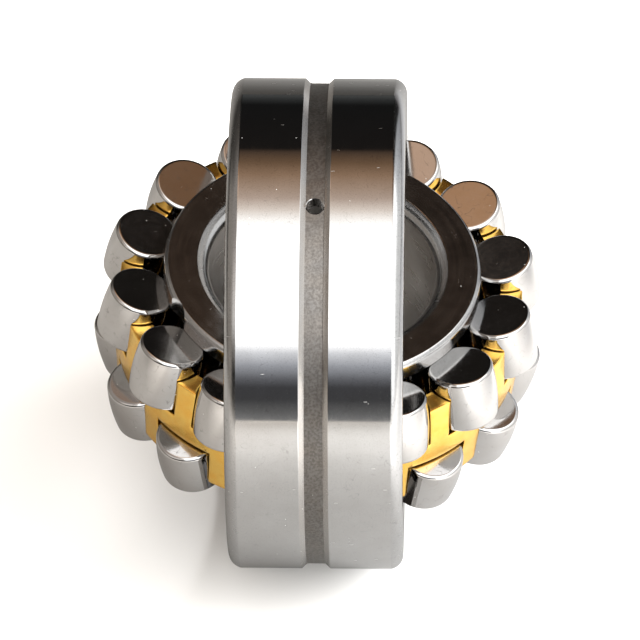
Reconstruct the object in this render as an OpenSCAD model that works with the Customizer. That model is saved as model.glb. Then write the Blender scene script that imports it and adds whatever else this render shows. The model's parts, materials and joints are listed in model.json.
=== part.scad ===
// Double-row spherical roller bearing, swivelled open.
//
// The outer ring stands on its rim with its axis along X. The inner ring, the two rows of
// barrel rollers, their brass cage and the loose guide ring share an inner axis, which is
// turned almost square to the outer ring's axis, so it stands nearly upright.
// The origin is the centre of the spherical raceway, the point that everything swivels on.
// Lengths are in millimetres and angles in degrees.

/* [Boundary dimensions] */
// Bore diameter of the inner ring
bore_d = 60; // [56:0.5:61]
// Outside diameter of the outer ring
outer_d = 130; // [128:0.5:136]
// Width of both rings
ring_width = 46; // [45:0.5:48]
// Size of the rounded corners at the bore and at the rim, along each face
corner_leg = 3.1; // [1.5:0.1:3.2]

/* [Rollers] */
// Rollers in each of the two rows
rollers_per_row = 14; // [8:1:14]
// Largest diameter of a barrel roller
roller_d = 18; // [17:0.1:18.2]
// Length of a roller
roller_length = 15.6; // [15:0.1:16]
// Radius of the barrel's long curve
barrel_r = 58; // [54:0.5:59]
// Bevel round both rims of a roller
roller_rim = 0.7; // [0.3:0.1:1]
// Distance from the swivel centre to the middle of a roller
roller_reach = 50.8; // [50.4:0.1:51]
// Contact angle of both rows
contact_angle = 12.7; // [12.2:0.1:13.2]
// Gap between a roller and each raceway or rib
running_gap = 0.03; // [0.02:0.01:0.08]

/* [Inner ring] */
// Diameter of the two retaining ribs
rib_d = 83.6; // [82.6:0.1:84.4]
// Diameter of the middle land that carries the guide ring
land_d = 85.7; // [85.3:0.1:86]
// Radius of the long curve of both inner raceways
inner_race_r = 59.5; // [59.5:0.5:64]
// Radial drop of the rounded edge where a rib meets the side face
rib_edge_drop = 1; // [0.4:0.1:1.4]
// Depth of the filling slot cut into the upper rib
slot_depth = 1.1; // [0.6:0.1:1.4]
// Direction of the filling slot about the inner axis
slot_turn = 206; // [0:1:359]

/* [Outer ring] */
// Width of the lubrication groove at the rim
groove_width = 7.6; // [6:0.1:10]
// Width of the groove's flat floor
groove_floor = 4.8; // [4.6:0.1:5.6]
// Depth of the lubrication groove
groove_depth = 1.3; // [0.6:0.1:1.6]
// Diameter of the oil holes
oil_hole_d = 4.5; // [3:0.1:4.6]
// Number of oil holes round the groove
oil_holes = 3; // [1:1:8]
// Turn of the first oil hole away from the top, towards the front
oil_hole_turn = 16; // [0:1:90]

/* [Cage and guide ring] */
// Inside diameter of the cage
cage_inner_d = 94.4; // [93.6:0.1:95]
// Diameter of the cage's middle band
cage_band_d = 108; // [107:0.1:110]
// Diameter of the cage at the tips of its prongs
cage_tip_d = 106.2; // [105:0.1:107]
// Height of the cage from tip to tip
cage_height = 29.6; // [26:0.1:31]
// Gap between a roller and the side of its pocket
pocket_gap = 0.25; // [0.15:0.05:0.35]
// Gap between a roller and the floor of its pocket
floor_gap = 0.9; // [0.5:0.1:1.2]
// Gap all round the guide ring, to the land, the cage and the rollers
guide_gap = 0.2; // [0.1:0.05:0.4]

/* [Pose] */
// Lean of the swivelled inner axis away from square, towards +X
rest_lean = 3.5; // [0:0.5:20]
// Turn of the first upper roller about the inner axis
row_turn = 88.3; // [0:0.1:90]

/* [Hidden] */
$fn = 128;
bore_r = bore_d / 2;
outer_r = outer_d / 2;
half_width = ring_width / 2;
rib_r = rib_d / 2;
land_r = land_d / 2;
roller_r = roller_d / 2;
half_length = roller_length / 2;
// Middle of a roller, as a radius from the inner axis and a height above the middle plane
row_r = roller_reach * cos(contact_angle);
row_z = roller_reach * sin(contact_angle);
// Sphere of the outer raceway
raceway_r = roller_reach + roller_r + running_gap;
pitch_angle = 360 / rollers_per_row;
// The corner arcs meet each face at this small angle, which leaves a crisp edge
corner_break = 12;
corner_r = corner_leg / (cos(corner_break) - sin(corner_break));
// Arc that leaves the rib as a tangent and drops by rib_edge_drop at the side face
rib_edge_z = 1.7;
rib_edge_r = (rib_edge_z * rib_edge_z + rib_edge_drop * rib_edge_drop) / (2 * rib_edge_drop);
relief_r = 0.4;
slot_r = 9.2;
race_edge = 0.5;
tip_edge = 0.3;
guide_edge = 0.3;
oil_hole_edge = 0.2;
// Longer than anything that it cuts
reach = 40;

function roller_name(row, k) = str(row, "_roller_", k < 10 ? "0" : "", k);

// Puts an inner part, drawn about Z, on the leaning inner axis.
module on_inner_axis() {
    rotate([0, rest_lean, 0]) children();
}

// Puts a roller, drawn about Z, in place k of a row: side is 1 for the upper and -1 for the lower.
// The lower row is half a pitch round from the upper.
module at_roller(side, k) {
    turn = row_turn + pitch_angle * (side > 0 ? k : k + 0.5);
    rotate([0, 0, turn]) translate([row_r, 0, side * row_z])
        rotate([0, side > 0 ? -contact_angle : 180 + contact_angle, 0]) children();
}

// Draws a half section in the frame of a roller, for both rows: X away from the inner axis
// through the line of contact, Y along the roller towards the side face.
module both_row_sections() {
    for (side = [0, 1]) mirror([0, side])
        translate([row_r, row_z]) rotate(contact_angle) children();
}

// What the corner arc leaves outside it, for a corner at the origin with the metal towards -X, -Y.
module corner_waste() {
    centre = -corner_r * cos(corner_break);
    difference() {
        translate([centre, centre]) square(reach);
        translate([centre, centre]) circle(corner_r);
    }
}

module outer_ring_section() {
    difference() {
        translate([raceway_r - reach / 4, -half_width]) square([outer_r - raceway_r + reach / 4, ring_width]);
        circle(raceway_r);
        for (side = [0, 1]) mirror([0, side]) {
            translate([outer_r, half_width]) corner_waste();
            // Small bevel where the raceway runs out at the side face
            translate([sqrt(raceway_r * raceway_r - half_width * half_width), half_width])
                rotate(45) square(2 * race_edge * sin(45), center = true);
        }
        polygon([
            [outer_r - groove_depth, -groove_floor / 2],
            [outer_r - groove_depth, groove_floor / 2],
            [outer_r, groove_width / 2],
            [outer_r + 1, groove_width / 2],
            [outer_r + 1, -groove_width / 2],
            [outer_r, -groove_width / 2]
        ]);
    }
}

module outer_ring() {
    color("silver") difference() {
        rotate([0, 90, 0]) rotate_extrude() outer_ring_section();
        for (i = [0 : oil_holes - 1]) rotate([oil_hole_turn + 360 * i / oil_holes, 0, 0]) {
            cylinder(d = oil_hole_d, h = outer_r + 1);
            // Bevel where the hole breaks into the floor of the groove
            translate([0, 0, outer_r - groove_depth - oil_hole_edge])
                cylinder(r1 = oil_hole_d / 2, r2 = oil_hole_d / 2 + 2 * oil_hole_edge, h = 2 * oil_hole_edge);
        }
    }
}

// Everything that a row of rollers sweeps out of the inner ring, out to its rib.
module inner_race_waste() {
    race_x = inner_race_r - roller_r - running_gap;
    end_y = half_length + running_gap;
    intersection() {
        translate([race_x, 0]) circle(inner_race_r);
        translate([-reach, -reach]) square([2 * reach, reach + end_y]);
    }
    // Relief groove in the corner between the raceway and the rib
    translate([race_x - sqrt(inner_race_r * inner_race_r - end_y * end_y), end_y - relief_r / 2]) circle(relief_r);
}

module rib_edge_waste() {
    translate([-rib_edge_r, -rib_edge_z]) difference() {
        square(reach);
        circle(rib_edge_r);
    }
}

module inner_ring_section() {
    difference() {
        union() {
            translate([bore_r, -half_width]) square([rib_r - bore_r, ring_width]);
            translate([bore_r, -half_length / 2]) square([land_r - bore_r, half_length]);
        }
        both_row_sections() inner_race_waste();
        for (side = [0, 1]) mirror([0, side]) {
            translate([bore_r, half_width]) mirror([1, 0]) corner_waste();
            translate([rib_r, half_width]) rib_edge_waste();
        }
    }
}

module inner_ring() {
    color("lightslategray") on_inner_axis() difference() {
        rotate_extrude() inner_ring_section();
        // Filling slot, a shallow scallop through the upper rib only
        rotate([0, 0, slot_turn]) translate([rib_r - slot_depth + slot_r, 0, row_z])
            cylinder(r = slot_r, h = reach);
    }
}

// Loose ring between the rows. Its two faces are cones that run along the inner ends of the rollers.
module guide_ring() {
    inner = land_r + guide_gap;
    outer = cage_inner_d / 2 - guide_gap;
    color("dimgray") on_inner_axis() rotate_extrude() difference() {
        translate([inner, -half_length / 2]) square([outer - inner, half_length]);
        both_row_sections() translate([-reach, -half_length - guide_gap]) square(2 * reach);
        // Bevelled rims
        for (side = [0, 1]) mirror([0, side]) {
            rim_z = row_z - half_length / cos(contact_angle) - (row_r - outer) * tan(contact_angle);
            translate([outer, rim_z]) rotate(45) square(2 * guide_edge, center = true);
        }
    }
}

// One solid of revolution, waisted towards its tips, that the pockets are cut from.
module cage_section() {
    band_z = row_z - half_length / cos(contact_angle) + (cage_band_d / 2 - row_r) * tan(contact_angle);
    polygon([
        [cage_inner_d / 2, -cage_height / 2],
        [cage_tip_d / 2 - tip_edge, -cage_height / 2],
        [cage_tip_d / 2, tip_edge - cage_height / 2],
        [cage_band_d / 2, -band_z],
        [cage_band_d / 2, band_z],
        [cage_tip_d / 2, cage_height / 2 - tip_edge],
        [cage_tip_d / 2 - tip_edge, cage_height / 2],
        [cage_inner_d / 2, cage_height / 2]
    ]);
}

module cage() {
    color("goldenrod") on_inner_axis() difference() {
        rotate_extrude() cage_section();
        for (side = [-1, 1], k = [1 : rollers_per_row]) at_roller(side, k)
            translate([0, 0, -half_length - floor_gap]) cylinder(r = roller_r + pocket_gap, h = reach);
    }
}

module roller_section() {
    end_x = sqrt(barrel_r * barrel_r - half_length * half_length) - barrel_r + roller_r;
    difference() {
        intersection() {
            translate([roller_r - barrel_r, 0]) circle(barrel_r);
            translate([0, -half_length]) square([roller_r, roller_length]);
        }
        // Bevelled rims
        for (side = [0, 1]) mirror([0, side]) translate([end_x, half_length]) rotate(45)
            square(roller_rim * sqrt(2), center = true);
    }
}

module roller(side, k) {
    color("gainsboro") on_inner_axis() at_roller(side, k) rotate_extrude() roller_section();
}

outer_ring();
inner_ring();
guide_ring();
cage();
for (k = [1 : rollers_per_row]) {
    roller(1, k);
    roller(-1, k);
}
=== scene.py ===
import json
import math

import bmesh
import bpy
from mathutils import Matrix, Vector

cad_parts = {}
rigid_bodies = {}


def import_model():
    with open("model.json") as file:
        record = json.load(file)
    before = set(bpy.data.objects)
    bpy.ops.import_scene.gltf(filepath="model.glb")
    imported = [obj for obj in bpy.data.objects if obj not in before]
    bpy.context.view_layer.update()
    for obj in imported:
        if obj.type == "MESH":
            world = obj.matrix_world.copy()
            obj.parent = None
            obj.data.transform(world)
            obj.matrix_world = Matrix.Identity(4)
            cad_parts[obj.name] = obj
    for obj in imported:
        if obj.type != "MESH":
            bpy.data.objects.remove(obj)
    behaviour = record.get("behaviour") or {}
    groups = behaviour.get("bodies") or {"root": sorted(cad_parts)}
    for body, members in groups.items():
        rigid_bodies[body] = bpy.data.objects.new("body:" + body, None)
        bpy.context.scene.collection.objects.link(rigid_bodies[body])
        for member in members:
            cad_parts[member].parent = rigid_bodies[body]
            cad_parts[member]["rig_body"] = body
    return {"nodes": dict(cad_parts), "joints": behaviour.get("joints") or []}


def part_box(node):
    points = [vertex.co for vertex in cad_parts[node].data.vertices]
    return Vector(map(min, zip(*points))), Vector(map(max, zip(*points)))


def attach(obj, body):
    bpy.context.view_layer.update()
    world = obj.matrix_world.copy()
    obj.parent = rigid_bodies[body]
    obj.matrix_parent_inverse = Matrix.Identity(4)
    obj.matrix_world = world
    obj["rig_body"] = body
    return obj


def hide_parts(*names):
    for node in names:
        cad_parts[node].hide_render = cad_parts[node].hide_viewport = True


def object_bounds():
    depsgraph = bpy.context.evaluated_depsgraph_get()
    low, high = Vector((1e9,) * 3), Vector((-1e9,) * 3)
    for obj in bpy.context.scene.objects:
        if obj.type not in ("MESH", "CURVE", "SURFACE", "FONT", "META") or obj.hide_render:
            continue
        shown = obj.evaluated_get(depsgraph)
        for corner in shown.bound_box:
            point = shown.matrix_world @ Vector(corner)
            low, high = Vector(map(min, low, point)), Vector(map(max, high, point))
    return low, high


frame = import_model()
CAD_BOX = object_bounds()
MM = 0.001

# ---------------------------------------------------------------- sizes, in mm
# Both rings
BORE_R = 30.0
OUTER_R = (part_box("outer_ring")[1].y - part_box("outer_ring")[0].y) / 2 / MM
HALF_WIDTH = 23.0
CORNER_LEG = 3.1
CORNER_BREAK = math.radians(12)
CORNER_R = CORNER_LEG / (math.cos(CORNER_BREAK) - math.sin(CORNER_BREAK))

# Rollers, and the middles of their two rows as a radius and a height
ROLLERS = 14
ROLLER_R = 9.0
HALF_LENGTH = 7.8
BARREL_R = 58.0
RIM_R = 1.05
CONTACT = math.radians(12.7)
ROLLER_REACH = 50.8
ROW_R = ROLLER_REACH * math.cos(CONTACT)
ROW_Z = ROLLER_REACH * math.sin(CONTACT)
ROW_TURN = math.radians(88.3)
HALF_PITCH = math.pi / ROLLERS
RUNNING_GAP = 0.03

# Outer ring
RACEWAY_R = ROLLER_REACH + ROLLER_R + RUNNING_GAP
GROOVE_HALF_MOUTH = 3.8
GROOVE_HALF_FLOOR = 2.4
GROOVE_DEPTH = 1.3
OIL_HOLES = 3
OIL_HOLE_R = 2.25
OIL_HOLE_TURN = math.radians(16)

# Inner ring
RIB_R = 41.8
LAND_R = 42.85
INNER_RACE_R = 59.5
SLOT_R = 9.2
SLOT_DEPTH = 1.1
SLOT_TURN = math.radians(206)

# Cage and guide ring. The cage tapers from its middle band to the tips of its prongs.
CAGE_INNER_R = 47.2
CAGE_BAND_R = 54.0
CAGE_TIP_R = 53.1
CAGE_HALF_HEIGHT = 14.8
CAGE_TAPER_Z = ROW_Z - HALF_LENGTH / math.cos(CONTACT) + (CAGE_BAND_R - ROW_R) * math.tan(CONTACT)
POCKET_R = ROLLER_R + 0.25
POCKET_FLOOR = HALF_LENGTH + 0.9
GUIDE_GAP = 0.2

# Edges: how far each piece is softened, then bevels, relief grooves and the rounded edge of a rib
OUTER_EDGE = 0.12
INNER_EDGE = 0.1
GUIDE_EDGE = 0.4
CAGE_EDGE = 0.28
CAGE_EDGE_ANGLE = math.radians(35)
RACEWAY_BEVEL_WIDTH = 0.5
RACEWAY_BEVEL_HEIGHT = 0.45
HOLE_BEVEL = 0.2
RELIEF = 0.2
RIB_EDGE_Z = 1.7
RIB_EDGE_DROP = 1.0
RIB_EDGE_R = (RIB_EDGE_Z ** 2 + RIB_EDGE_DROP ** 2) / (2 * RIB_EDGE_DROP)
# The top of a rib is turned to this depth, and what lies below it is ground
RIB_BAND = 0.2
# The round of a roller's rim runs from its end face to this angle, where it meets the barrel
ROLLER_RIM_END = math.radians(8)

# Detail: faces round each piece and along its curves
OUTER_SEGMENTS = 320
INNER_SEGMENTS = 288
GUIDE_SEGMENTS = 256
ROLLER_SEGMENTS = 96
SLOT_SEGMENTS = 96
HOLE_SEGMENTS = 48
CORNER_STEPS = 14
RACEWAY_STEPS = 14
INNER_RACE_STEPS = 26
RIB_EDGE_STEPS = 8
BARREL_STEPS = 12
ROLLER_RIM_STEPS = 7

# Cutters reach past the surfaces that they cut
OVERLAP = 0.1
HOLE_FROM, HOLE_TO = 50, 70
SLOT_FROM, SLOT_TO = 14, 30
# A point this close to a surface belongs to it, and one on a roller's flat end has to be closer
NEAR = 0.05
FLAT = 0.01
# Points of the cage's patches this close together are one
WELD = 0.001
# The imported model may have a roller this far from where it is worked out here
PLACE_TOLERANCE = 0.1

# The mesh attribute that holds a roller's coordinates about its own axis
OWN_PLACE = "own_place"

JOINTS = {j["name"]: j for j in frame["joints"]}
INNER_AXIS = Vector(JOINTS["inner_ring_spin"]["axis"]).normalized()
INNER_FRAME = Matrix.Rotation(math.atan2(INNER_AXIS.x, INNER_AXIS.z), 4, "Y")
OUTER_FRAME = Matrix.Rotation(math.radians(90), 4, "Y")


# ---------------------------------------------------------------- outlines
def arc(cx, cy, r, start, end, steps):
    """Points of an arc, both ends included."""
    turns = [start + (end - start) * i / steps for i in range(steps + 1)]
    return [(cx + r * math.cos(t), cy + r * math.sin(t)) for t in turns]


def soften(points, size, limit=18):
    """Rounds each corner of a closed outline that turns by more than limit degrees."""
    out = []
    for i, p in enumerate(points):
        a, b = points[i - 1], points[(i + 1) % len(points)]
        ua = (a[0] - p[0], a[1] - p[1])
        ub = (b[0] - p[0], b[1] - p[1])
        la, lb = math.hypot(*ua), math.hypot(*ub)
        turn = math.degrees(math.acos(max(-1, min(1, -(ua[0] * ub[0] + ua[1] * ub[1]) / la / lb))))
        if turn < limit:
            out.append(p)
            continue
        # Never more than just under half of a side, so that two rounded corners leave room for each other
        d = min(size, 0.45 * la, 0.45 * lb)
        for t in (0, 0.25, 0.5, 0.75, 1):
            ka, kb = d * (1 - t) ** 2 / la, d * t ** 2 / lb
            out.append((p[0] + ua[0] * ka + ub[0] * kb, p[1] + ua[1] * ka + ub[1] * kb))
    return out


def braced(points, closed=True, long_run=2.2, inset=0.15):
    """Adds a point close to both ends of each long straight run, so that smooth shading stays flat
    between them."""
    out = []
    count = len(points)
    for i, p in enumerate(points):
        out.append(p)
        if i == count - 1 and not closed:
            break
        q = points[(i + 1) % count]
        length = math.hypot(q[0] - p[0], q[1] - p[1])
        if length > long_run:
            for share in (inset / length, 1 - inset / length):
                out.append((p[0] + (q[0] - p[0]) * share, p[1] + (q[1] - p[1]) * share))
    return out


def mirrored(points):
    """The outline's points and their mirror image across the middle plane, as one closed outline."""
    return points + [(x, -y) for x, y in reversed(points)]


def roller_to_section(u, w):
    """From the frame of an upper roller to radius and height in the section of the inner assembly."""
    return (ROW_R + u * math.cos(CONTACT) - w * math.sin(CONTACT),
            ROW_Z + u * math.sin(CONTACT) + w * math.cos(CONTACT))


# ---------------------------------------------------------------- meshes
def new_object(name, mesh, place=None):
    obj = bpy.data.objects.new(name, mesh)
    bpy.context.scene.collection.objects.link(obj)
    if place is not None:
        mesh.transform(place)
    return obj


def revolve(name, outline, segments, zone_of=None, closed=True, place=None):
    """A solid of revolution about Z from (radius, height) points in mm. zone_of(radius, height)
    gives the material zone of a strip. An open outline starts and ends on the axis."""
    bm = bmesh.new()
    rings = []
    turns = [2 * math.pi * i / segments for i in range(segments)]
    for r, z in outline:
        if r == 0:
            rings.append([bm.verts.new((0, 0, z * MM))])
            continue
        rings.append([bm.verts.new((r * MM * math.cos(turn), r * MM * math.sin(turn), z * MM))
                      for turn in turns])
    last = len(rings) if closed else len(rings) - 1
    for k in range(last):
        a, b = rings[k], rings[(k + 1) % len(rings)]
        pa, pb = outline[k], outline[(k + 1) % len(rings)]
        zone = zone_of((pa[0] + pb[0]) / 2, (pa[1] + pb[1]) / 2) if zone_of else 0
        for i in range(segments):
            j = (i + 1) % segments
            corners = [a[i % len(a)], a[j % len(a)], b[j % len(b)], b[i % len(b)]]
            # A point on the axis stands for a whole ring, so it turns up twice
            corners = [v for n, v in enumerate(corners) if v not in corners[:n]]
            face = bm.faces.new(corners)
            face.material_index = zone
            face.smooth = True
    bmesh.ops.recalc_face_normals(bm, faces=bm.faces)
    mesh = bpy.data.meshes.new(name)
    bm.to_mesh(mesh)
    bm.free()
    return new_object(name, mesh, place)


def smooth(obj, limit=24):
    """Smooth shading, with edges that turn by more than limit degrees kept sharp."""
    mesh = obj.data
    mesh.polygons.foreach_set("use_smooth", [True] * len(mesh.polygons))
    mesh.set_sharp_from_angle(angle=math.radians(limit))


def apply_modifiers(obj):
    graph = bpy.context.evaluated_depsgraph_get()
    mesh = bpy.data.meshes.new_from_object(obj.evaluated_get(graph))
    obj.modifiers.clear()
    obj.data = mesh


def cut(obj, cutters):
    """Takes the cutters away from obj, and removes them."""
    for cutter in cutters:
        modifier = obj.modifiers.new("cut", "BOOLEAN")
        modifier.operation = "DIFFERENCE"
        modifier.solver = "EXACT"
        modifier.object = cutter
    bpy.context.view_layer.update()
    apply_modifiers(obj)
    for cutter in cutters:
        bpy.data.objects.remove(cutter)


def paint(obj, *materials):
    while len(obj.data.materials) < len(materials):
        obj.data.materials.append(None)
    for i, material in enumerate(materials):
        obj.data.materials[i] = material


def stand_for(obj, node):
    """obj takes the place of a CAD node and moves with that node's body."""
    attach(obj, frame["nodes"][node]["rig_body"])
    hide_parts(node)


# ---------------------------------------------------------------- node trees
class Tree:
    """A short way to write a node tree. What takes a value takes a number or another node's output."""

    def __init__(self, owner):
        owner.use_nodes = True
        self.tree = owner.node_tree
        self.tree.nodes.clear()

    def node(self, kind, values=None, **settings):
        n = self.tree.nodes.new(kind)
        for key, value in settings.items():
            setattr(n, key, value)
        for key, value in (values or {}).items():
            self.put(n.inputs[key], value)
        return n

    def put(self, socket, value):
        if isinstance(value, bpy.types.NodeSocket):
            self.tree.links.new(value, socket)
        else:
            socket.default_value = value

    def math(self, operation, a, b=0.0, c=0.0, clamp=False):
        n = self.node("ShaderNodeMath", {0: a, 1: b, 2: c}, operation=operation, use_clamp=clamp)
        return n.outputs[0]

    def times(self, a, b):
        return self.math("MULTIPLY", a, b)

    def plus(self, a, b):
        return self.math("ADD", a, b)

    def between(self, value, low, high, out_low=0.0, out_high=1.0):
        """value mapped from low..high to out_low..out_high along a smooth step."""
        n = self.node("ShaderNodeMapRange", {"Value": value, "From Min": low, "From Max": high,
                                             "To Min": out_low, "To Max": out_high},
                      interpolation_type="SMOOTHSTEP")
        return n.outputs["Result"]

    def mix(self, factor, a, b):
        n = self.node("ShaderNodeMix", data_type="RGBA")
        self.put(n.inputs["Factor"], factor)
        self.put(n.inputs[6], a)
        self.put(n.inputs[7], b)
        return n.outputs[2]

    def noise(self, vector, scale, detail=3.0, roughness=0.55):
        """Noise from 0 to 1 around 0.5. Its scale is in waves per unit, and places are in mm."""
        n = self.node("ShaderNodeTexNoise", {"Vector": vector, "Scale": scale, "Detail": detail,
                                             "Roughness": roughness})
        return n.outputs["Fac"]

    def ramp(self, value, stops):
        n = self.node("ShaderNodeValToRGB", {"Fac": value})
        elements = n.color_ramp.elements
        while len(elements) < len(stops):
            elements.new(0.5)
        for element, (at, colour) in zip(elements, stops):
            element.position = at
            element.color = (*colour, 1)
        return n.outputs["Color"]

    def combine(self, x, y, z):
        return self.node("ShaderNodeCombineXYZ", {0: x, 1: y, 2: z}).outputs[0]

    def scale(self, vector, by):
        return self.node("ShaderNodeVectorMath", {0: vector, "Scale": by}, operation="SCALE").outputs[0]

    def multiply_colours(self, a, b):
        return self.node("ShaderNodeVectorMath", {0: a, 1: b}, operation="MULTIPLY").outputs[0]

    def around(self, axis_frame=None):
        """Place in mm, then radius, turn and height about the axis of a piece. A roller has no frame
        of its own here: its mesh carries the coordinates about its axis as an attribute."""
        place = self.scale(self.node("ShaderNodeTexCoord").outputs["Object"], 1 / MM)
        if axis_frame is None:
            own = self.node("ShaderNodeAttribute", attribute_name=OWN_PLACE).outputs["Vector"]
        else:
            turned = self.node("ShaderNodeMapping", {"Vector": place}, vector_type="POINT")
            turned.inputs["Rotation"].default_value = axis_frame.inverted().to_euler()
            own = turned.outputs[0]
        x, y, z = self.node("ShaderNodeSeparateXYZ", {0: own}).outputs
        r = self.math("SQRT", self.plus(self.times(x, x), self.times(y, y)))
        return place, r, self.math("ARCTAN2", y, x), z


def grey(level, warmth=0.0):
    """A neutral grey, or one with more red and less blue."""
    return (level * (1 + warmth), level, level * (1 - warmth))


# ---------------------------------------------------------------- steel and brass
# How a steel surface looks unless STEELS says otherwise: how strong its grain is, how fine, and the
# range of noise that the grain's contrast covers, then the dashes left by handling, the radius that
# they are laid out on, and how metallic the surface is.
PLAIN_STEEL = dict(grain=0.1, grain_scale=4.0, grain_range=(0.5, 0.75), dashes=0.0, radius=60, metal=1.0)
# Each steel surface: its base grey and warmth, roughness from and to, the depth of its grinding
# lines, how strong the scratches are, and what the lines run across.
STEELS = {
    "rim_steel": dict(
        base=0.57, warmth=0.005, rough=(0.045, 0.085), lines=0.05, scratches=0.12, along="z",
        grain=0.34, grain_scale=3.2, dashes=1.0),
    "face_steel": dict(
        base=0.5, warmth=0.02, rough=(0.12, 0.2), lines=0.06, scratches=0.2, along="r", dashes=0.5),
    "corner_steel": dict(
        base=0.52, warmth=0.0, rough=(0.14, 0.24), lines=0.05, scratches=0.2, along="r",
        grain=0.5, grain_scale=2.2, dashes=0.6),
    "raceway_steel": dict(
        base=0.56, warmth=0.01, rough=(0.05, 0.09), lines=0.02, scratches=0.1, along="z"),
    "bore_steel": dict(
        base=0.48, warmth=0.03, rough=(0.26, 0.34), lines=0.02, scratches=0.03, along="z"),
    "groove_steel": dict(
        base=0.205, warmth=0.05, rough=(0.34, 0.46), lines=0.02, scratches=0.0, along="z",
        grain=0.75, grain_scale=1.5, grain_range=(0.34, 0.66), metal=0.95),
    # Near-black: painted shade inside the oil holes
    "hole_painted_shade_steel": dict(
        base=0.02, warmth=0.05, rough=(0.45, 0.6), lines=0.03, scratches=0.05, along="z"),
    "slope_steel": dict(
        base=0.5, warmth=0.03, rough=(0.16, 0.26), lines=0.04, scratches=0.1, along="z", grain=0.2),
    "barrel_steel": dict(
        base=0.56, warmth=0.015, rough=(0.04, 0.09), lines=0.015, scratches=0.2, along="z",
        dashes=0.4, radius=9),
    "roller_end_steel": dict(
        base=0.56, warmth=0.01, rough=(0.07, 0.13), lines=0.03, scratches=0.24, along="r",
        dashes=0.5, radius=9),
}
DUST = (0.8, 0.8, 0.78, 1)
BRASS_DEEP = (1.0, 0.57, 0.11, 1)
BRASS_PALE = (1.0, 0.66, 0.16, 1)
BRASS_STAIN = (0.6, 0.32, 0.06, 1)
# Height that a bump of strength 1 stands for
BUMP_DEPTH = 0.02 * MM


def speckle(t, vector, scale, channel, share, core, edge):
    """Round spots in some of the cells of a Voronoi pattern. About the given share of the cells have
    none, and a spot fades from its core to its edge."""
    cells = t.node("ShaderNodeTexVoronoi", {"Vector": vector, "Scale": scale})
    pick = t.node("ShaderNodeSeparateColor", {0: cells.outputs["Color"]}).outputs[channel]
    spot = t.between(cells.outputs["Distance"], core, edge, 1.0, 0.0)
    return t.times(spot, t.math("GREATER_THAN", pick, share))


def scratch_lines(t, place):
    """Thin contour lines of a slow noise, broken up into patches."""
    contour = t.math("ABSOLUTE", t.math("SUBTRACT", t.noise(place, 0.3, 1.5, 0.5), 0.5))
    hair = t.between(contour, 0.0, 0.011, 1.0, 0.0)
    patchy = t.between(t.noise(place, 0.42, 2.0), 0.47, 0.56)
    return t.times(hair, patchy)


def steel(name, axis_frame=None, finish=None):
    """Steel that was ground or turned about the axis of axis_frame, with the look of one of STEELS."""
    look = {**PLAIN_STEEL, **STEELS[finish or name]}
    material = bpy.data.materials.new(name)
    t = Tree(material)
    place, r, turn, z = t.around(axis_frame)
    across = z if look["along"] == "z" else r
    # Grinding lines run round the axis, so the pattern is fine across them and long along them
    sweep = t.times(turn, 2.0)
    lines = t.noise(t.combine(t.times(across, 11.0), t.times(sweep, 1.3), 0.0), 1.0, 4.0, 0.7)
    bands = t.noise(t.combine(t.times(across, 1.4), t.times(sweep, 0.7), 4.0), 1.0, 2.0)
    cloud = t.noise(place, 0.16, 4.0, 0.6)
    grain = t.noise(place, look["grain_scale"], 3.0, 0.6)
    scratch = t.times(scratch_lines(t, place), look["scratches"])
    dust = speckle(t, place, 0.42, 0, 0.76, 0.03, 0.06)
    # Handling leaves short straight dashes: their cells are long across the grinding lines
    dash_place = t.combine(t.times(across, 0.16), t.times(turn, 0.9 * look["radius"]), 0.0)
    dash = t.times(speckle(t, dash_place, 1.0, 1, 0.84, 0.05, 0.12), look["dashes"])

    def tone(share, warmer=1):
        return (*grey(look["base"] * share, look["warmth"] * warmer), 1)

    colour = t.mix(t.between(cloud, 0.3, 0.7), tone(0.94, 2), tone(1))
    colour = t.mix(t.times(t.between(lines, 0.35, 0.65), 0.14), colour, tone(0.8))
    colour = t.mix(t.times(t.between(grain, *look["grain_range"]), look["grain"]), colour, tone(0.5, 2))
    colour = t.mix(t.math("MULTIPLY", scratch, 2.5, clamp=True), colour, tone(0.35, 3))
    colour = t.mix(t.times(t.plus(dust, dash), 0.7), colour, DUST)
    rough = t.between(t.plus(t.times(cloud, 0.5), t.times(bands, 0.5)), 0.3, 0.7, *look["rough"])
    marked = t.plus(t.plus(scratch, dust), dash)
    rough = t.math("ADD", rough, t.times(marked, 0.45), clamp=True)
    height = t.plus(t.times(lines, look["lines"]), t.times(scratch, -0.15))
    height = t.plus(height, t.times(grain, look["grain"] * 0.2))
    bump = t.node("ShaderNodeBump", {"Height": height, "Strength": 0.3, "Distance": BUMP_DEPTH})
    metal = t.math("SUBTRACT", look["metal"], t.times(dust, 0.8))
    shader = t.node("ShaderNodeBsdfPrincipled", {"Base Color": colour, "Metallic": metal, "Roughness": rough,
                                                 "Normal": bump.outputs[0]})
    t.node("ShaderNodeOutputMaterial", {"Surface": shader.outputs[0]})
    return material


def brass(name):
    """Machined brass, with the fine lines that the cutter left round the band."""
    material = bpy.data.materials.new(name)
    t = Tree(material)
    place, r, turn, z = t.around(INNER_FRAME)
    cutter = t.noise(t.combine(t.times(r, 4.0), t.times(turn, 7.0), t.times(z, 6.0)), 1.0, 3.0, 0.5)
    cloud = t.noise(place, 0.25, 4.0, 0.6)
    stain = t.between(t.noise(place, 0.7, 3.0, 0.6), 0.58, 0.74)
    colour = t.mix(t.between(cloud, 0.3, 0.7), BRASS_DEEP, BRASS_PALE)
    colour = t.mix(t.times(stain, 0.25), colour, BRASS_STAIN)
    rough = t.between(cutter, 0.3, 0.7, 0.255, 0.265)
    bump = t.node("ShaderNodeBump", {"Height": cutter, "Strength": 0.003, "Distance": BUMP_DEPTH})
    shader = t.node("ShaderNodeBsdfPrincipled", {"Base Color": colour, "Metallic": 1.0, "Roughness": rough,
                                                 "Normal": bump.outputs[0]})
    t.node("ShaderNodeOutputMaterial", {"Surface": shader.outputs[0]})
    return material


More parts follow.
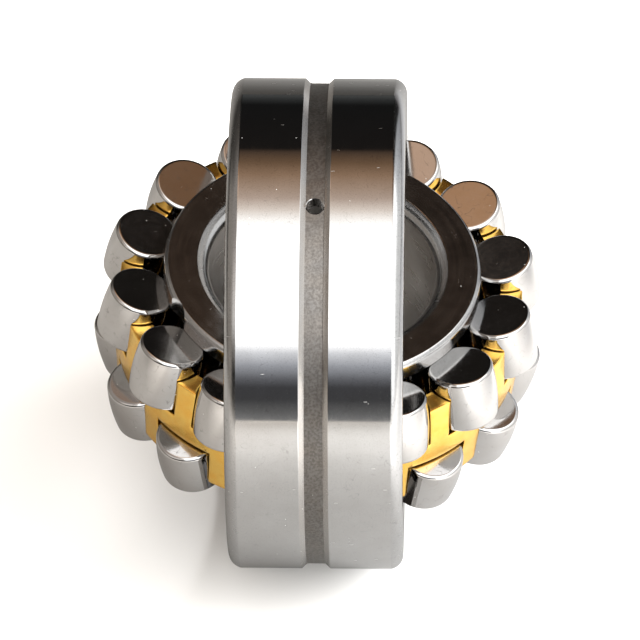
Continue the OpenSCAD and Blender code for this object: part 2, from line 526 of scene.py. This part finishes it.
# ---------------------------------------------------------------- outer ring
# Zones of the outer ring's surface, in the order of its materials
RIM, GROOVE, RACEWAY, FACE, CORNER, SLOPE = range(6)


def corner_points(radius, outward):
    """The rounded corner of a ring from its side face to its rim or bore."""
    inset = CORNER_R * math.cos(CORNER_BREAK)
    points = arc(0, 0, CORNER_R, math.pi / 2 - CORNER_BREAK, CORNER_BREAK, CORNER_STEPS)
    return [(radius + outward * (x - inset), HALF_WIDTH + y - inset) for x, y in points]


def outer_ring_zone(r, z):
    height = abs(z)
    if height < GROOVE_HALF_MOUTH - NEAR and r > OUTER_R - GROOVE_DEPTH - 2 * NEAR:
        return GROOVE if height < GROOVE_HALF_FLOOR + NEAR else SLOPE
    if abs(math.hypot(r, z) - RACEWAY_R) < 2 * NEAR:
        return RACEWAY
    if height > HALF_WIDTH - NEAR:
        return FACE
    return CORNER if height > HALF_WIDTH - CORNER_LEG and r > OUTER_R - CORNER_LEG else RIM


def oil_hole_cutter(i):
    floor_r = OUTER_R - GROOVE_DEPTH
    wide = OIL_HOLE_R + HOLE_BEVEL + OVERLAP
    outline = [(0, HOLE_FROM), (OIL_HOLE_R, HOLE_FROM), (OIL_HOLE_R, floor_r - HOLE_BEVEL),
               (wide, floor_r + OVERLAP), (wide, HOLE_TO), (0, HOLE_TO)]
    turn = Matrix.Rotation(OIL_HOLE_TURN + 2 * math.pi * i / OIL_HOLES, 4, "X")
    return revolve("hole_cutter", outline, HOLE_SEGMENTS, closed=False, place=turn)


def make_outer_ring():
    edge_turn = math.asin((HALF_WIDTH - RACEWAY_BEVEL_HEIGHT) / RACEWAY_R)
    raceway_end = math.sqrt(RACEWAY_R ** 2 - HALF_WIDTH ** 2)
    half = arc(0, 0, RACEWAY_R, 0.0, edge_turn, RACEWAY_STEPS)[1:]
    half += [(raceway_end + RACEWAY_BEVEL_WIDTH, HALF_WIDTH)]
    half += corner_points(OUTER_R, 1)
    half += [(OUTER_R, GROOVE_HALF_MOUTH), (OUTER_R - GROOVE_DEPTH, GROOVE_HALF_FLOOR)]
    outline = braced(soften([(RACEWAY_R, 0.0)] + mirrored(half), OUTER_EDGE))
    obj = revolve("outer_ring_detail", outline, OUTER_SEGMENTS, outer_ring_zone, place=OUTER_FRAME)
    cutters = [oil_hole_cutter(i) for i in range(OIL_HOLES)]
    # The oil holes' walls take near-black steel: painted shade inside the holes
    hole = steel("hole_painted_shade_steel", OUTER_FRAME)
    for cutter in cutters:
        paint(cutter, hole)
    paint(obj,
          steel("rim_steel", OUTER_FRAME),
          steel("groove_steel", OUTER_FRAME),
          steel("outer_raceway_steel", OUTER_FRAME, "raceway_steel"),
          steel("face_steel", OUTER_FRAME),
          steel("corner_steel", OUTER_FRAME),
          steel("slope_steel", OUTER_FRAME))
    cut(obj, cutters)
    smooth(obj)
    stand_for(obj, "outer_ring")


# ---------------------------------------------------------------- inner ring and guide ring
# Zones of the inner ring's surface, in the order of its materials
INNER_RACE, INNER_FACE, TURNED, BORE = range(4)


def inner_ring_zone(r, z):
    height = abs(z)
    if r < BORE_R + NEAR:
        return BORE
    if height > HALF_WIDTH - NEAR:
        return INNER_FACE
    return TURNED if r > RIB_R - RIB_BAND or height > HALF_WIDTH - CORNER_LEG else INNER_RACE


def inner_race_points():
    """The upper raceway from the middle land to the relief beside the rib."""
    race_u = INNER_RACE_R - ROLLER_R - RUNNING_GAP
    end_w = HALF_LENGTH + RUNNING_GAP
    # The curve starts past the roller's inner end, and the land hides the first of it
    first_w, last_w = -HALF_LENGTH - RELIEF, end_w - RELIEF - NEAR
    race = []
    for i in range(INNER_RACE_STEPS + 1):
        w = first_w + (last_w - first_w) * i / INNER_RACE_STEPS
        r, z = roller_to_section(race_u - math.sqrt(INNER_RACE_R ** 2 - w * w), w)
        if r < LAND_R:
            race.append((r, z))
    first_r, first_z = race[0]
    start = (LAND_R, first_z - (LAND_R - first_r) * math.tan(CONTACT))
    race_end = race_u - math.sqrt(INNER_RACE_R ** 2 - end_w * end_w)
    relief = [roller_to_section(race_end - RELIEF, end_w - RELIEF),
              roller_to_section(race_end + RELIEF / 2, end_w)]
    rib_u = (RIB_R - ROW_R + end_w * math.sin(CONTACT)) / math.cos(CONTACT)
    return [start] + race + relief + [roller_to_section(rib_u, end_w)]


def slot_cutter():
    centre = RIB_R - SLOT_DEPTH + SLOT_R
    place = INNER_FRAME @ Matrix.Rotation(SLOT_TURN, 4, "Z") @ Matrix.Translation((centre * MM, 0, 0))
    outline = [(0, SLOT_FROM), (SLOT_R, SLOT_FROM), (SLOT_R, SLOT_TO), (0, SLOT_TO)]
    return revolve("slot_cutter", outline, SLOT_SEGMENTS, closed=False, place=place)


def make_inner_ring():
    half = inner_race_points()
    half += arc(RIB_R - RIB_EDGE_R, HALF_WIDTH - RIB_EDGE_Z, RIB_EDGE_R,
                0.0, math.asin(RIB_EDGE_Z / RIB_EDGE_R), RIB_EDGE_STEPS)
    half += corner_points(BORE_R, -1)
    outline = braced(soften(mirrored(half), INNER_EDGE))
    obj = revolve("inner_ring_detail", outline, INNER_SEGMENTS, inner_ring_zone, place=INNER_FRAME)
    cutter = slot_cutter()
    turned = steel("inner_turned_steel", INNER_FRAME, "corner_steel")
    paint(cutter, turned)
    paint(obj,
          steel("inner_raceway_steel", INNER_FRAME, "raceway_steel"),
          steel("inner_face_steel", INNER_FRAME, "face_steel"),
          turned,
          steel("bore_steel", INNER_FRAME))
    cut(obj, [cutter])
    smooth(obj)
    stand_for(obj, "inner_ring")


def make_guide_ring():
    outer, inner = CAGE_INNER_R - GUIDE_GAP, LAND_R + GUIDE_GAP

    def face_z(r):
        return ROW_Z - (HALF_LENGTH + GUIDE_GAP) / math.cos(CONTACT) + (r - ROW_R) * math.tan(CONTACT)

    outline = braced(soften(mirrored([(inner, face_z(inner)), (outer, face_z(outer))]), GUIDE_EDGE))
    obj = revolve("guide_ring_detail", outline, GUIDE_SEGMENTS, place=INNER_FRAME)
    paint(obj, steel("guide_ring_steel", INNER_FRAME, "corner_steel"))
    smooth(obj)
    stand_for(obj, "guide_ring")


# ---------------------------------------------------------------- cage
# Rounds of the loops that close in on where two pocket surfaces meet
SETTLE_ROUNDS = 30
# Faces along each patch of the cage
TIP_COLUMNS = 4
FLOOR_COLUMNS = 9
DEPTHS = 5
LEVELS = 10
BAND_ROWS = 4


def cage_radius(z, depth):
    """Radius of the cage at height z, from its outer skin at depth 0 to its inner skin at depth 1."""
    taper = max(0.0, (abs(z) - CAGE_TAPER_Z) / (CAGE_HALF_HEIGHT - CAGE_TAPER_Z))
    outer = CAGE_BAND_R - (CAGE_BAND_R - CAGE_TIP_R) * taper
    return outer + (CAGE_INNER_R - outer) * depth


def pocket_side(z, r):
    """Turn from the middle of an upper pocket to its side, at radius r and height z."""
    turn = POCKET_R / r
    for _ in range(SETTLE_ROUNDS):
        u = (r * math.cos(turn) - ROW_R) * math.cos(CONTACT) + (z - ROW_Z) * math.sin(CONTACT)
        turn = math.asin(math.sqrt(POCKET_R ** 2 - u * u) / r)
    return turn


def pocket_floor(r, turn):
    """Height of the flat floor of an upper pocket."""
    return (r * math.cos(turn) - ROW_R) * math.tan(CONTACT) + ROW_Z - POCKET_FLOOR / math.cos(CONTACT)


def pocket_corner(depth):
    """Turn and height where the side of a pocket meets its floor."""
    # A first guess, which the rounds below put right
    z = 2.5
    for _ in range(SETTLE_ROUNDS):
        r = cage_radius(z, depth)
        turn = pocket_side(z, r)
        z = pocket_floor(r, turn)
    return turn, z


def spread(first, last, steps):
    """Even values from first to last, both included."""
    return [first + (last - first) * i / steps for i in range(steps + 1)]


def band_columns(depth):
    """Turns over half a pitch, closer together beside the corners of the pockets."""
    corner = pocket_corner(depth)[0]
    gap = HALF_PITCH - corner
    first = spread(0, gap, TIP_COLUMNS)[:-1]
    middle = spread(gap, corner, FLOOR_COLUMNS)[:-1]
    return first + middle + spread(corner, HALF_PITCH, TIP_COLUMNS)


def band_edge(depth, turn):
    """Height of the band's upper edge."""
    corner, z = pocket_corner(depth)
    return z if turn > corner else pocket_floor(cage_radius(0, depth), turn)


def band_skin(depth):
    grid = []
    for turn in band_columns(depth):
        heights = spread(band_edge(depth, turn), -band_edge(depth, HALF_PITCH - turn), BAND_ROWS)
        grid.append([(cage_radius(z, depth), turn, z) for z in heights])
    return grid


def prong_levels(depth):
    """Radius, turn and height up the side of a prong."""
    heights = spread(pocket_corner(depth)[1], CAGE_HALF_HEIGHT, LEVELS)
    return [(cage_radius(z, depth), pocket_side(z, cage_radius(z, depth)), z) for z in heights]


def prong_row(r, side, z):
    """From the side of a prong to its middle."""
    return [(r, turn, z) for turn in spread(side, HALF_PITCH, TIP_COLUMNS)]


def cage_patches():
    """Grids of (radius, turn, height) over half a pitch, from the middle of an upper pocket to the
    middle of the next upper prong. Own grids repeat for the lower row, turned half a pitch round."""
    skins = (0.0, 1.0)
    shared = [band_skin(depth) for depth in skins]
    own = [[prong_row(*level) for level in prong_levels(depth)] for depth in skins]
    floor, side, tip = [], [], []
    for depth in spread(0.0, 1.0, DEPTHS):
        r = cage_radius(0, depth)
        turns = band_columns(depth)[:TIP_COLUMNS + FLOOR_COLUMNS + 1]
        floor.append([(r, turn, pocket_floor(r, turn)) for turn in turns])
        side.append(prong_levels(depth))
        tip.append(prong_row(*side[-1][-1]))
    return shared, own + [floor, side, tip]


def cage_vertex(bm, sense, pitch, r, turn, z):
    a = ROW_TURN + 2 * HALF_PITCH * pitch + sense * turn
    return bm.verts.new((r * MM * math.cos(a), r * MM * math.sin(a), z * MM))


def make_cage():
    """Every patch is laid round the cage both ways from each pocket, and the seams are welded."""
    shared, own = cage_patches()
    lower = [[[(r, HALF_PITCH - turn, -z) for r, turn, z in row] for row in grid] for grid in own]
    bm = bmesh.new()
    for pitch in range(ROLLERS):
        for sense in (1, -1):
            for grid in shared + own + lower:
                verts = [[cage_vertex(bm, sense, pitch, *point) for point in row] for row in grid]
                for a, b in zip(verts, verts[1:]):
                    for i in range(len(a) - 1):
                        bm.faces.new((a[i], a[i + 1], b[i + 1], b[i]))
    bmesh.ops.remove_doubles(bm, verts=bm.verts, dist=WELD * MM)
    bmesh.ops.recalc_face_normals(bm, faces=bm.faces)
    mesh = bpy.data.meshes.new("cage_detail")
    bm.to_mesh(mesh)
    bm.free()
    obj = new_object("cage_detail", mesh, INNER_FRAME)
    bevel = obj.modifiers.new("edges", "BEVEL")
    bevel.width = CAGE_EDGE * MM
    bevel.segments = 2
    bevel.limit_method = "ANGLE"
    bevel.angle_limit = CAGE_EDGE_ANGLE
    bpy.context.view_layer.update()
    apply_modifiers(obj)
    smooth(obj, limit=40)
    paint(obj, brass("cage_brass"))
    stand_for(obj, "cage")


# ---------------------------------------------------------------- rollers
# Zones of a roller's surface, in the order of its materials
BARREL, END = range(2)
# Turn from one roller to the next about its own axis, in radians
OWN_TURN = 2.4


def roller_zone(r, z):
    return END if abs(z) > HALF_LENGTH - FLAT else BARREL


def roller_mesh():
    """One roller about Z, which all of them share before each gets a copy."""
    rim_w = HALF_LENGTH - RIM_R
    rim_u = math.sqrt(BARREL_R ** 2 - rim_w ** 2) - BARREL_R + ROLLER_R - RIM_R
    half = [(0.0, HALF_LENGTH), (rim_u * 0.5, HALF_LENGTH)]
    half += arc(rim_u, rim_w, RIM_R, math.pi / 2, ROLLER_RIM_END, ROLLER_RIM_STEPS)
    for i in range(BARREL_STEPS):
        w = rim_w * (1 - i / BARREL_STEPS)
        half.append((ROLLER_R - BARREL_R + math.sqrt(BARREL_R ** 2 - w * w), w))
    outline = braced(half + [(ROLLER_R, 0.0)] + [(x, -y) for x, y in reversed(half)], closed=False)
    obj = revolve("roller_shape", outline, ROLLER_SEGMENTS, roller_zone, closed=False)
    paint(obj, steel("barrel_steel"), steel("roller_end_steel"))
    smooth(obj, limit=30)
    mesh = obj.data
    bpy.data.objects.remove(obj)
    own = mesh.attributes.new(OWN_PLACE, "FLOAT_VECTOR", "POINT")
    own.data.foreach_set("vector", [c / MM for v in mesh.vertices for c in v.co])
    return mesh


def roller_place(side, k):
    """Where roller k of the upper row (side 1) or the lower row (side -1) stands."""
    turn = ROW_TURN + 2 * HALF_PITCH * (k if side > 0 else k + 0.5)
    lean = -CONTACT if side > 0 else math.pi + CONTACT
    middle = Matrix.Translation((ROW_R * MM, 0, side * ROW_Z * MM))
    return INNER_FRAME @ Matrix.Rotation(turn, 4, "Z") @ middle @ Matrix.Rotation(lean, 4, "Y")


def make_rollers():
    shape = roller_mesh()
    for row, side in (("upper", 1), ("lower", -1)):
        for k in range(1, ROLLERS + 1):
            node = f"{row}_roller_{k:02d}"
            place = roller_place(side, k)
            low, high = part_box(node)
            if (place.translation - (low + high) / 2).length > PLACE_TOLERANCE * MM:
                raise ValueError(f"{node} is not where the packed model has it")
            # Each roller has turned in its pocket by its own amount, so their marks differ
            own_turn = Matrix.Rotation(OWN_TURN * k + side, 4, "Z")
            obj = new_object(node + "_detail", shape.copy(), place @ own_turn)
            stand_for(obj, node)
    bpy.data.meshes.remove(shape)


# ---------------------------------------------------------------- stage
# How bright a mirror sees the floor, as a share at each place in metres: along y from front to back at the
# left and the middle, along y at the right, then across x. These shares are painted light and shade: painted
# shade close in, behind and to the left, and a painted pool of light to the right.
PAINTED_FLOOR_LIGHT_ALONG = [
    (-1.0, grey(0.8)),
    (-0.6, grey(0.76)),
    (-0.35, grey(0.66)),
    (-0.2, grey(0.46)),
    (-0.12, grey(0.36)),
    (0.08, grey(0.36)),
    (0.14, grey(0.24)),
    (0.3, grey(0.15)),
    (0.6, grey(0.105)),
    (1.0, grey(0.09)),
]
PAINTED_FLOOR_LIGHT_ALONG_RIGHT = [
    (-1.0, grey(0.8)),
    (-0.35, grey(0.52)),
    (-0.12, grey(0.37)),
    (0.03, (0.21, 0.212, 0.218)),
    (0.3, (0.19, 0.194, 0.203)),
    (0.6, (0.18, 0.186, 0.196)),
    (1.0, (0.14, 0.14, 0.15)),
]
PAINTED_FLOOR_LIGHT_ACROSS = [
    (-1.0, (0.26, 0.245, 0.225)),
    (-0.6, (0.6, 0.57, 0.54)),
    (-0.3, (0.96, 0.93, 0.89)),
    (-0.15, (0.98, 0.95, 0.91)),
    (-0.09, (0.82, 0.79, 0.76)),
    (0.0, (0.86, 0.86, 0.85)),
    (0.06, grey(1.1)),
    (0.14, grey(2.2)),
    (0.24, grey(1.75)),
    (0.5, grey(1.5)),
    (1.0, grey(1.2)),
]
FLOOR_PEAK = 2.2
# Between these places the right-hand shares take over
FLOOR_RIGHT_FROM, FLOOR_RIGHT_TO = 0.1, 0.2
FLOOR_TONE = 0.78
# Level of the painted light and shade that mirrors see on the floor
PAINTED_MIRROR_LIGHT_LEVEL = 0.82
# The floor's edges, in metres
LEFT, RIGHT, FRONT, BACK = -5.0, 5.0, -12.0, 5.0

KEY_LIGHT_PLACE = Vector((0.8, -0.05, 0.65))
KEY_LIGHT_SIZE = 1.0
KEY_LIGHT_WATTS = 26


def scaled(stops, low, high, peak):
    """Ramp stops with their places mapped to 0..1 and their colours divided by the brightest."""
    return [((at - low) / (high - low), tuple(c / peak for c in colour)) for at, colour in stops]


def make_floor():
    """A plain white floor. The steel mirrors it a little darker to the left, close in and behind, and
    brighter to the right: painted shade and a painted pool of light on the colour that glossy rays see."""
    low = CAD_BOX[0][2]
    mesh = bpy.data.meshes.new("floor")
    mesh.from_pydata([(LEFT, FRONT, low), (RIGHT, FRONT, low), (RIGHT, BACK, low), (LEFT, BACK, low)],
                     [], [(0, 1, 2, 3)])
    obj = new_object("floor", mesh)
    material = bpy.data.materials.new("floor_white_painted_reflection")
    t = Tree(material)
    place = t.node("ShaderNodeTexCoord").outputs["Object"]
    x, y = list(t.node("ShaderNodeSeparateXYZ", {0: place}).outputs)[:2]
    # A ramp runs from 0 to 1, and its stops here from -1 to 1 metre
    ramp_x, ramp_y = (t.math("MULTIPLY_ADD", value, 0.5, 0.5) for value in (x, y))
    along = t.ramp(ramp_y, scaled(PAINTED_FLOOR_LIGHT_ALONG, -1, 1, 1))
    along_right = t.ramp(ramp_y, scaled(PAINTED_FLOOR_LIGHT_ALONG_RIGHT, -1, 1, 1))
    along = t.mix(t.between(x, FLOOR_RIGHT_FROM, FLOOR_RIGHT_TO), along, along_right)
    across = t.ramp(ramp_x, scaled(PAINTED_FLOOR_LIGHT_ACROSS, -1, 1, FLOOR_PEAK))
    # Painted light and shade: glossy rays see the floor darker or brighter by place, while the camera sees
    # it plain
    painted_mirror_light = t.scale(t.multiply_colours(along, across), FLOOR_PEAK * PAINTED_MIRROR_LIGHT_LEVEL)
    glossy = t.node("ShaderNodeLightPath").outputs["Is Glossy Ray"]
    colour = t.mix(glossy, (*grey(FLOOR_TONE), 1), painted_mirror_light)
    shader = t.node("ShaderNodeBsdfDiffuse", {"Color": colour})
    t.node("ShaderNodeOutputMaterial", {"Surface": shader.outputs[0]})
    paint(obj, material)


def make_key_light():
    """One large soft light above and to the right. Mirrors see the studio instead."""
    light = bpy.data.lights.new("key_light", "AREA")
    light.shape = "SQUARE"
    light.size = KEY_LIGHT_SIZE
    light.energy = KEY_LIGHT_WATTS
    obj = bpy.data.objects.new("key_light", light)
    bpy.context.scene.collection.objects.link(obj)
    obj.location = KEY_LIGHT_PLACE
    obj.rotation_euler = (-KEY_LIGHT_PLACE).to_track_quat("-Z", "Y").to_euler()
    obj.visible_camera = False
    obj.visible_glossy = False


# The studio as a mirror sees it: degrees round from the front horizon over the zenith to the
# back horizon, then linear red, green and blue. The arches share their front and differ behind.
STUDIO_FRONT = [
    (0, grey(0.3)),
    (4, grey(0.19)),
    (10, (0.08, 0.08, 0.084)),
    (16, (0.08, 0.08, 0.086)),
    (20, (0.2, 0.205, 0.225)),
    (26, (0.55, 0.57, 0.62)),
    (32, (1.15, 1.17, 1.22)),
    (39, grey(2.8)),
    (85, grey(2.8)),
    (94, (1.9, 1.86, 1.8)),
    (100, (1.25, 1.1, 0.98)),
]
STUDIO_MIDDLE = STUDIO_FRONT + [
    (106, (0.78, 0.61, 0.5)),
    (112, (0.6, 0.43, 0.32)),
    (119, (0.44, 0.28, 0.18)),
    (126, (0.24, 0.145, 0.085)),
    (133, (0.1, 0.065, 0.045)),
    (135, (0.016, 0.014, 0.013)),
    (170, grey(0.012)),
    (176, (0.045, 0.047, 0.047)),
    (180, (0.085, 0.088, 0.088)),
]
STUDIO_HALF_RIGHT = STUDIO_FRONT + [
    (106, (0.6, 0.45, 0.36)),
    (113, (0.3, 0.19, 0.125)),
    (121, (0.26, 0.14, 0.075)),
    (126, (0.2, 0.11, 0.06)),
    (129, (0.014, 0.012, 0.01)),
    (180, grey(0.012)),
]
STUDIO_HALF_LEFT = STUDIO_FRONT + [
    (106, (1.05, 0.8, 0.6)),
    (113, (1.15, 0.77, 0.55)),
    (121, (0.61, 0.335, 0.175)),
    (125, (0.35, 0.18, 0.09)),
    (128, (0.018, 0.015, 0.013)),
    (180, (0.012, 0.012, 0.011)),
]
STUDIO_RIGHT = [
    (0, grey(1.7)),
    (20, (2.8, 2.8, 2.78)),
    (118, (2.8, 2.8, 2.78)),
    (126, (1.3, 1.3, 1.32)),
    (135, (0.85, 0.87, 0.9)),
    (153, (0.66, 0.68, 0.71)),
    (180, (0.45, 0.46, 0.48)),
]
STUDIO_LEFT = [
    (0, (0.03, 0.028, 0.026)),
    (22, (0.03, 0.028, 0.026)),
    (34, (0.4, 0.37, 0.34)),
    (46, (1.1, 1.05, 1.0)),
    (72, (0.9, 0.82, 0.76)),
    (88, (0.5, 0.44, 0.4)),
    (105, (0.42, 0.38, 0.35)),
    (122, (0.44, 0.395, 0.36)),
    (135, (0.24, 0.215, 0.195)),
    (150, (0.1, 0.09, 0.08)),
    (180, (0.05, 0.046, 0.042)),
]
# Each arch takes over from the ones before it as x of the direction goes from one value to the other
ARCHES = [
    (0.05, 0.11, STUDIO_HALF_RIGHT),
    (-0.06, -0.09, STUDIO_HALF_LEFT),
    (0.4, 0.48, STUDIO_RIGHT),
    (-0.21, -0.32, STUDIO_LEFT),
]
FAR_SIDES = [
    (0.675, 0.9, (1.15, 1.15, 1.14)),
    (-0.675, -0.9, (0.4, 0.36, 0.32)),
]
STUDIO_PEAK = 2.8
FLOOR_FILL = (1.5, 1.47, 1.41)
BACKDROP = (1.0, 1.0, 1.0)


def make_studio():
    """The world: arches of light for mirrors and for the floor, and a plain white backdrop."""
    world = bpy.data.worlds.new("studio")
    bpy.context.scene.world = world
    t = Tree(world)
    direction = t.node("ShaderNodeTexCoord").outputs["Generated"]
    x, y, z = t.node("ShaderNodeSeparateXYZ", {0: direction}).outputs
    turn = t.math("DIVIDE", t.math("ARCTAN2", t.math("ABSOLUTE", z), t.times(y, -1.0)), math.pi)

    def arch(stops):
        return t.ramp(turn, scaled(stops, 0, 180, STUDIO_PEAK))

    colour = arch(STUDIO_MIDDLE)
    for start, end, stops in ARCHES:
        colour = t.mix(t.between(x, start, end), colour, arch(stops))
    for start, end, side in FAR_SIDES:
        colour = t.mix(t.between(x, start, end), colour, (*(c / STUDIO_PEAK for c in side), 1))
    # The white floor takes a little more of the studio than the mirrors show
    diffuse = t.node("ShaderNodeLightPath").outputs["Is Diffuse Ray"]
    lit = t.multiply_colours(colour, FLOOR_FILL)
    lights = t.node("ShaderNodeBackground", {"Color": t.mix(diffuse, colour, lit), "Strength": STUDIO_PEAK})
    backdrop = t.node("ShaderNodeBackground", {"Color": (*BACKDROP, 1), "Strength": 1.0})
    seen = t.node("ShaderNodeLightPath").outputs["Is Camera Ray"]
    mixed = t.node("ShaderNodeMixShader", {0: seen, 1: lights.outputs[0], 2: backdrop.outputs[0]})
    t.node("ShaderNodeOutputWorld", {"Surface": mixed.outputs[0]})


# The photo's viewpoint: angles in degrees, distance in metres, focal length in mm
CAMERA_AZIMUTH = 1.728
CAMERA_ELEVATION = 45.865
CAMERA_ROLL = -0.762
CAMERA_DISTANCE = 1.7582
FOCAL_LENGTH = 372.6
SENSOR_WIDTH = 36
SHIFT_X, SHIFT_Y = 0.0023, 0.0051
CLIP_START, CLIP_END = 0.05, 20


def make_camera():
    """A camera that looks at the origin."""
    camera = bpy.data.objects.new("camera", bpy.data.cameras.new("camera"))
    bpy.context.scene.collection.objects.link(camera)
    azimuth, elevation = math.radians(CAMERA_AZIMUTH), math.radians(CAMERA_ELEVATION)
    roll = math.radians(CAMERA_ROLL)
    right = Vector((math.cos(azimuth), math.sin(azimuth), 0))
    back = Vector((math.sin(azimuth) * math.cos(elevation), -math.cos(azimuth) * math.cos(elevation),
                   math.sin(elevation)))
    up = back.cross(right)
    x_axis = right * math.cos(roll) + up * math.sin(roll)
    y_axis = up * math.cos(roll) - right * math.sin(roll)
    turn = Matrix((x_axis, y_axis, back)).transposed().to_4x4()
    camera.matrix_world = Matrix.Translation(back * CAMERA_DISTANCE) @ turn
    camera.data.lens = FOCAL_LENGTH
    camera.data.sensor_width = SENSOR_WIDTH
    camera.data.shift_x = SHIFT_X
    camera.data.shift_y = SHIFT_Y
    camera.data.clip_start = CLIP_START
    camera.data.clip_end = CLIP_END
    bpy.context.scene.camera = camera


make_camera()
make_studio()
make_key_light()
make_floor()
make_outer_ring()
make_inner_ring()
make_guide_ring()
make_cage()
make_rollers()
bpy.context.scene.view_settings.view_transform = "Standard"
